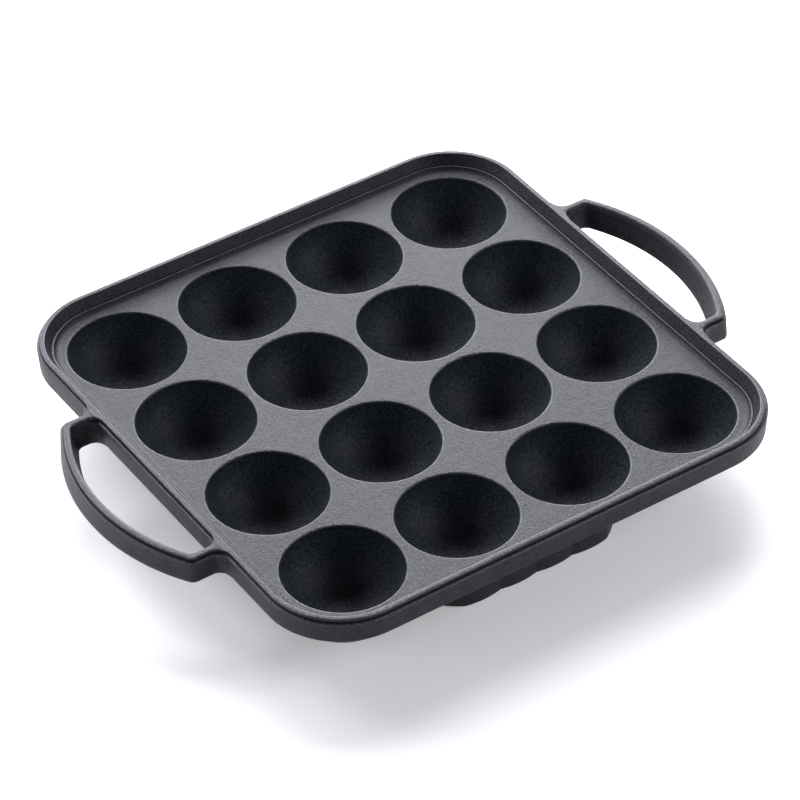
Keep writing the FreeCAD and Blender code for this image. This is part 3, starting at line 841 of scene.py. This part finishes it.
# %% Dress every section
for piece, node in ((deck, "deck_plate"), (rim, "rim"), (foot, "foot")):
    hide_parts(node)
# The deck and the cups take the iron with painted light below the mouths.
for piece in [deck, rim, foot, *cups, *handles]:
    piece.data.materials.append(painted_bowl_iron if piece in [deck, *cups] else iron)
    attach(piece, "root")
print("seasoned:", 1 + len(cups), "sections, plain iron:", 2 + len(handles))

# %% [markdown]
# ## The floor
# The photographed pan stands on white, and its dark walls mirror that white. A large plain square does
# the same here. It gives a little light of its own, as a lit sheet would, and it lies a hair below the
# foot, so that the two don't share a plane.

# %% The floor
FLOOR_REACH = 6.0
FLOOR_DROP = 0.05 * MM
FLOOR_COLOUR = (0.9, 0.9, 0.9, 1)
FLOOR_ROUGHNESS = 0.9
FLOOR_SHINE = 0.1
FLOOR_GLOW = 0.25


def make_floor():
    """A square of four points round the middle: (-reach, -reach) to (reach, reach)."""
    plan = FLOOR_REACH * np.array([(-1, -1), (1, -1), (1, 1), (-1, 1)])
    mesh = bpy.data.meshes.new("floor")
    mesh.from_pydata(at_height(plan, -FLOOR_DROP).tolist(), [], [(0, 1, 2, 3)])
    floor = bpy.data.objects.new("floor", mesh)
    bpy.context.scene.collection.objects.link(floor)
    material, _, shader = new_material("pale_floor")
    shader.inputs["Base Color"].default_value = FLOOR_COLOUR
    shader.inputs["Roughness"].default_value = FLOOR_ROUGHNESS
    shader.inputs["Specular IOR Level"].default_value = FLOOR_SHINE
    shader.inputs["Emission Color"].default_value = (1, 1, 1, 1)
    shader.inputs["Emission Strength"].default_value = FLOOR_GLOW
    mesh.materials.append(material)


make_floor()
print(f"floor {2 * FLOOR_REACH:.0f} m square, {FLOOR_DROP / MM:.2f} mm below the foot")

# %% [markdown]
# ## Soft studio light
# Black iron shows its shape by what it mirrors. Three large lamps behind the pan are mirrored by the
# deck towards the camera, while the cups and the walls that face the camera stay dark. A lamp at the
# front right and a weak one at the left keep those walls from going black. Every lamp is a square
# that faces the middle of the deck, because a broad lamp gives soft edges to shadows and shine.

# %% The lights
LAMP_COLOUR = (0.93, 0.915, 1.0)
LAMPS = (
    ("back_softbox", (0.50, 0.76, 0.78), 0.9, 27.0),
    ("back_left_softbox", (-0.35, 1.10, 0.70), 0.8, 17.0),
    ("low_back_softbox", (0.75, 1.15, 0.35), 0.7, 17.0),
    ("right_front_softbox", (0.90, -0.90, 0.70), 0.7, 10.0),
    ("left_softbox", (-1.30, 0.20, 0.45), 0.8, 5.0),
)
STUDIO_COLOUR = (0.9, 0.93, 1.0, 1)
STUDIO_STRENGTH = 0.10


def soft_light(name, place, size, power):
    """A square area light of a size in metres and a power in watts, aimed at the deck's middle."""
    light = bpy.data.lights.new(name, "AREA")
    light.shape = "SQUARE"
    light.size = size
    light.energy = power
    light.color = LAMP_COLOUR
    lamp = bpy.data.objects.new(name, light)
    lamp.location = place
    aim = Vector((0, 0, DECK_TOP)) - Vector(place)
    lamp.rotation_euler = aim.to_track_quat("-Z", "Y").to_euler()
    bpy.context.scene.collection.objects.link(lamp)
    print(f"{name}: {power:.0f} W, {size} m wide")


for lamp in LAMPS:
    soft_light(*lamp)

world = bpy.data.worlds.new("studio")
world.use_nodes = True
background = world.node_tree.nodes["Background"]
background.inputs["Color"].default_value = STUDIO_COLOUR
background.inputs["Strength"].default_value = STUDIO_STRENGTH
bpy.context.scene.world = world
bpy.context.scene.view_settings.view_transform = "Standard"

# %% [markdown]
# ## The camera
# The camera was found from the photograph: the middles of the sixteen mouths are known on the pan and
# seen in the picture, and only one place, direction and lens fits them all. The place is given in cup
# spacings, so it holds for a pan of any size.

# %% The camera at the photograph's angle
PHOTO_WIDTH = 800
FOCAL_PIXELS = 3965.09
SENSOR = 36.0
CLIP_START = 0.05
CAMERA_PLACE = (-12.6845, -19.2066, 19.3997)
CAMERA_RIGHT = (0.82784, -0.56080, -0.01339)
CAMERA_UP = (0.37198, 0.53093, 0.76141)
CAMERA_BACK = (-0.41989, -0.63530, 0.64814)


def make_camera():
    """The camera, placed in cup spacings from the middle of the deck's top."""
    data = bpy.data.cameras.new("photo_camera")
    data.sensor_width = SENSOR
    data.lens = FOCAL_PIXELS / PHOTO_WIDTH * SENSOR
    data.clip_start = CLIP_START
    camera = bpy.data.objects.new("photo_camera", data)
    axes = Matrix((CAMERA_RIGHT, CAMERA_UP, CAMERA_BACK)).transposed()
    place = Vector(CAMERA_PLACE) * PITCH + Vector((0, 0, DECK_TOP))
    camera.matrix_world = Matrix.Translation(place) @ axes.to_4x4()
    bpy.context.scene.collection.objects.link(camera)
    bpy.context.scene.camera = camera
    print(f"camera {place.length:.2f} m away, lens {data.lens:.1f} mm")


make_camera()
